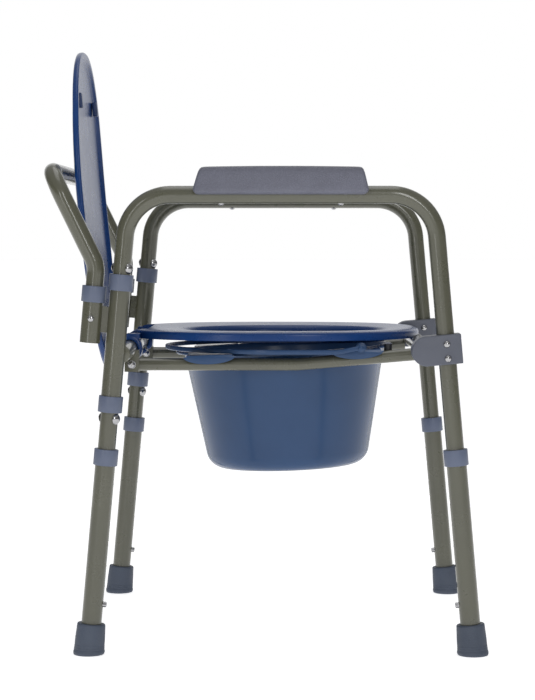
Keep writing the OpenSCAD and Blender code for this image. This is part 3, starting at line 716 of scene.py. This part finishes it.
def pail_ear(side, end):
    """A plate from the rim over the rail, with a turned-down lip; rail and rim are cut out of it."""
    y0, y1 = end * EAR_U - EAR_L / 2, end * EAR_U + EAR_L / 2
    inner, outer = 84 * MM, EAR_OUT
    xs = sorted((side * inner, side * outer))
    plate_end = xs[1] - 3 * MM if side > 0 else xs[1]
    plate = solid(*block((xs[0], y0 + 4 * MM, 0.3 * MM), (plate_end, y1 - 4 * MM, 3.8 * MM)), "ear")
    lip_x = sorted((side * (outer - 3 * MM), side * outer))
    # seen from the side the lip is a long lens, deepest in its middle
    lens = []
    for i in range(25):
        t = -1 + 2 * i / 24
        lens.append((end * EAR_U + t * EAR_L / 2, 1.4 * MM - 9 * MM * (1 - t * t) ** 0.6))
    for i in range(25):
        t = 1 - 2 * i / 24
        lens.append((end * EAR_U + t * EAR_L / 2 * 0.995, 1.6 * MM + 2.4 * MM * (1 - t ** 4)))
    lip = solid(*skin([[(x, y, z) for y, z in lens] for x in lip_x]))
    ear = boolean(plate, [lip], "UNION")
    well = solid(*bar((0, 0, -0.02), (0, 0, 0.02), 136 * MM, 128))
    ear = boolean(ear, [well], "DIFFERENCE")
    return bevelled(ear, 1.1 * MM, 3)


def rail_cutter():
    """Bars a little fatter than the rails, in the pail's own frame."""
    out = []
    low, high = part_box("seat_rails")
    knee = armrest_mid_y - 20 * MM
    z = hinge.z - 18.5 * MM
    end_z = z + (knee - low.y) * math.tan(RAIL_RISE)
    back = pail_turn.inverted()
    for side in SIDES.values():
        x = side * RAIL_X
        tail, middle, nose = Vector((x, high.y, z)), Vector((x, knee, z)), Vector((x, low.y, end_z))
        for start, end in ((tail, middle), (middle, nose)):
            out.append(solid(*bar(back @ start, back @ end, 8.35 * MM)))
    return out


def pail():
    """The turned body, its four ears and the two lugs for the handle's pins."""
    parts = [mesh_from(*pail_body())]
    pin = pail_turn.inverted() @ handle_pin
    for side in SIDES.values():
        for end in ENDS.values():
            parts.append(taken(boolean(linked("ear", pail_ear(side, end)), rail_cutter(), "DIFFERENCE")))
        x0, x1 = side * (EAR_OUT - 3.2 * MM), side * (EAR_OUT - 0.1 * MM)
        lug = solid(*bar((x0, pin.y, pin.z), (x1, pin.y, pin.z), 7 * MM))
        parts.append(bevelled(lug, 0.6 * MM))
    mesh = joined("pail_moulding", parts)
    mesh.transform(pail_turn)
    return dress(mesh, "pail_moulding", PAIL_BLUE, "pail", ["pail"], sharp=40)


def pail_handle():
    """A flat strap with rounded edges, from pin to pin round the back of the rim."""
    half = 161.4 * MM
    low_z = handle_pin.z - 5 * MM
    arc_y = handle_pin.y + 92 * MM
    # from the pin the strap sinks to the ears' level
    start = [(0, handle_pin.z), (8 * MM, handle_pin.z - 0.8 * MM), (24 * MM, low_z + 0.7 * MM),
             (34 * MM, low_z), (64 * MM, low_z)]
    path = [Vector((-half, handle_pin.y + y, z)) for y, z in start]
    for i in range(49):
        a = math.pi - math.pi * i / 48
        path.append(Vector((half * math.cos(a), arc_y + half * math.sin(a), low_z)))
    path += [Vector((-p.x, p.y, p.z)) for p in reversed(path[:len(start)])]
    w, h, r = 3.0 * MM, 3.0 * MM, 1.3 * MM
    outline = []
    for quarter, (dx, dz) in enumerate(((1, 1), (-1, 1), (-1, -1), (1, -1))):
        outline += arc(dx * (w - r), dz * (h - r), r, 90 * quarter, 90 * (quarter + 1), 4)
    rings = []
    for i, p in enumerate(path):
        along = (path[min(i + 1, len(path) - 1)] - path[max(i - 1, 0)]).normalized()
        side = along.cross(Vector((0, 0, 1))).normalized()
        up = side.cross(along)
        rings.append([p + side * a + up * b for a, b in outline])
    parts = [mesh_from(*skin(rings))]
    for side in SIDES.values():
        x0, x1 = side * (half - w), side * (half + w)
        boss = solid(*bar((x0, handle_pin.y, handle_pin.z), (x1, handle_pin.y, handle_pin.z), 5.5 * MM))
        parts.append(bevelled(boss, 1 * MM))
    mesh = joined("pail_handle_strap", parts)
    return dress(mesh, "pail_handle_strap", PAIL_BLUE, "pail_handle", ["pail_handle"])


# ---------------------------------------------------------------- armrest pads
PAD_SLANT = {"rear": 10 * MM, "front": 8 * MM}
PAD_EDGE = 7 * MM


def armrest_pad(side_name):
    """A foam pad with slanting ends and soft edges, crowned a little, that sits over the tube."""
    node = f"armrest_pad_{side_name}"
    low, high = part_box(node)
    mid_x, mid_y = (low.x + high.x) / 2, (low.y + high.y) / 2
    half_w, half_l, tall = (high.x - low.x) / 2, (high.y - low.y) / 2, high.z - low.z
    inner = [0, 0.4, 1, 2, 3.2, 4.6, 6.4, 8.4, 10.6, 13, 16, 20, 26, 36, 50, 68, 86]
    places = [-half_l + e * MM for e in inner] + [half_l - e * MM for e in reversed(inner)]
    rings = []
    for y in places:
        from_end = max(half_l - abs(y), 0.0)
        slant = PAD_SLANT["rear" if y > 0 else "front"]
        tuck = PAD_EDGE - math.sqrt(max(0.0, PAD_EDGE ** 2 - (PAD_EDGE - min(from_end, PAD_EDGE)) ** 2))
        crown = 1.2 * MM * (1 - (y / half_l) ** 2)
        slope = PAD_EDGE + 0.2 * MM + from_end * tall / slant
        top = (slope ** -7 + (tall - 1.2 * MM + crown) ** -7) ** (-1 / 7)
        bottom = tuck
        wide = half_w - 0.8 * tuck
        ring = []
        for k in range(56):
            a = 2 * math.pi * k / 56
            c, s = math.cos(a), math.sin(a)
            x = math.copysign(abs(c) ** 0.36, c) * (wide - (1.6 * MM if s > 0 else 0) * abs(s))
            z = (top + bottom) / 2 + math.copysign(abs(s) ** 0.36, s) * (top - bottom) / 2
            ring.append((mid_x + x, mid_y + y, low.z + z))
        rings.append(ring)
    foam = solid(*skin(rings), f"foam_{side_name}")
    ends = [(mid_x, y, low.z) for y in (low.y - 0.02, high.y + 0.02)]
    groove = solid(*bar(*ends, tube_r + 0.2 * MM, 64))
    mesh = taken(boolean(foam, [groove], "DIFFERENCE"))
    pad = dress(mesh, f"{node}_foam", PAD, f"side_{side_name}", [node], sharp=50)
    return pad


# ---------------------------------------------------------------- feet
def rubber_foot(end, side_name):
    """A ferrule round the leaning leg whose rings turn level towards the floor.

    The profile has heights above the floor and radii, both in millimetres."""
    node = f"foot_{end}_{side_name}"
    foot, up = leg_line(end, side_name)
    lean = math.atan2(-up.y, up.z)
    profile = [(0, 17.4), (0.3, 18.4), (1.2, 19.1), (2.6, 19.45), (4.6, 19.5)]
    for n in range(3):
        z = 7 + 3 * n
        r = 19.4 - 0.062 * z
        profile += [(z - 0.9, r), (z - 0.4, r - 0.05), (z, r - 0.28), (z + 0.4, r - 0.05),
                    (z + 0.9, r - 0.05)]
    profile += [(22, 18.35), (30, 17.85), (36.4, 17.5), (37.7, 17.3), (38.5, 16.7), (38.8, 15.8),
                (38.8, 13.2), (38.0, 12.65)]
    n = 96
    rings = []
    for z, r in profile:
        level = max(0.0, 1 - z / 22)
        centre = foot + up * (z * MM / math.cos(lean))
        tilt = lean * (1 - level)
        ring = []
        for i in range(n):
            a = 2 * math.pi * i / n
            dx, dy = r * MM * math.cos(a), r * MM * math.sin(a)
            ring.append((centre.x + dx, centre.y + dy * math.cos(tilt), centre.z + dy * math.sin(tilt)))
        rings.append(ring)
    verts, faces = skin(rings)
    return piece(f"{node}_rubber", verts, faces, RUBBER, f"leg_{end}_{side_name}", [node])


# ---------------------------------------------------------------- front brackets
def front_bracket(side_name):
    """A block round the front leg with a round end over the cross tube, which sits in a cup behind it."""
    side = SIDES[side_name]
    node = f"front_bracket_{side_name}"
    low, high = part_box(node)
    cup = Vector(((low.x + high.x) / 2, tube_y, tube_z))
    half_t, half_h = (high.x - low.x) / 2, high.y - cup.y
    foot, up = leg_line("front", side_name)
    ahead = Vector((0, -up.z, up.y))
    reach = (cup.y - low.y) / abs(ahead.y) - half_h * abs(up.y)
    outline = [cup + ahead * reach - up * half_h, cup + ahead * reach + up * half_h]
    for i in range(33):
        a = math.pi * i / 32
        outline.append(cup + up * (half_h * math.cos(a)) - ahead * (half_h * math.sin(a)))
    rings = [[(cup.x + dx, p.y, p.z) for p in outline] for dx in (-half_t, half_t)]
    moulding = solid(*skin(rings))
    leg = solid(*bar(foot + up * 0.3, foot + up * 0.45, tube_r + 0.05 * MM))
    inner = cup.x - side * half_t
    mouth, bottom = inner - side * 5 * MM, inner + side * 10 * MM
    well = solid(*bar((mouth, cup.y, cup.z), (bottom, cup.y, cup.z), tube_r + 1.5 * MM))
    mesh = bevelled(boolean(moulding, [leg, well], "DIFFERENCE"), 1.6 * MM, 4)
    return dress(mesh, node + "_moulding", BRACKET, f"side_{side_name}", [node])


# ---------------------------------------------------------------- rear cross tube
def rear_cross_tube():
    """The hinge tube with closed, rounded ends, welded to the posts beside it."""
    low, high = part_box("rear_cross_tube")
    tube = solid(*bar((low.x, hinge.y, hinge.z), (high.x, hinge.y, hinge.z), tube_r))
    tube = linked("rear_tube", bevelled(tube, 1.2 * MM, 3))
    posts = []
    for side_name in SIDES:
        foot, up = leg_line("rear", side_name)
        posts.append(solid(*bar(foot + up * 0.25, foot + up * 0.5, 12.5 * MM)))
    mesh = taken(boolean(tube, posts, "DIFFERENCE"))
    body = body_of(frame["nodes"]["rear_cross_tube"])[0]
    return dress(mesh, "rear_cross_tube_closed", PAINT, body, ["rear_cross_tube"],
                 sharp=50)


# ---------------------------------------------------------------- build
seat()
lid()
pail()
pail_handle()
for side_name in SIDES:
    armrest_pad(side_name)
    front_bracket(side_name)
    for end in ENDS:
        rubber_foot(end, side_name)
        softened(f"leg_collar_{end}_{side_name}", 1.1 * MM, COLLAR, segments=3)
softened("post_collars", 1.1 * MM, COLLAR, segments=3)
softened("socket_collars", 1.1 * MM, COLLAR, segments=3)
lid_bumpers()
rear_cross_tube()
softened("seat_bumpers", 0.8 * MM, BLACK_RUBBER)

# ---------------------------------------------------------------- floor
FLOOR_HALF = 40
floor_mesh = bpy.data.meshes.new("floor")
corners = [(x * FLOOR_HALF, y * FLOOR_HALF, 0) for x, y in ((-1, -1), (1, -1), (1, 1), (-1, 1))]
floor_mesh.from_pydata(corners, [], [(0, 1, 2, 3)])
floor_mesh.materials.append(FLOOR)
floor = linked("floor", floor_mesh)
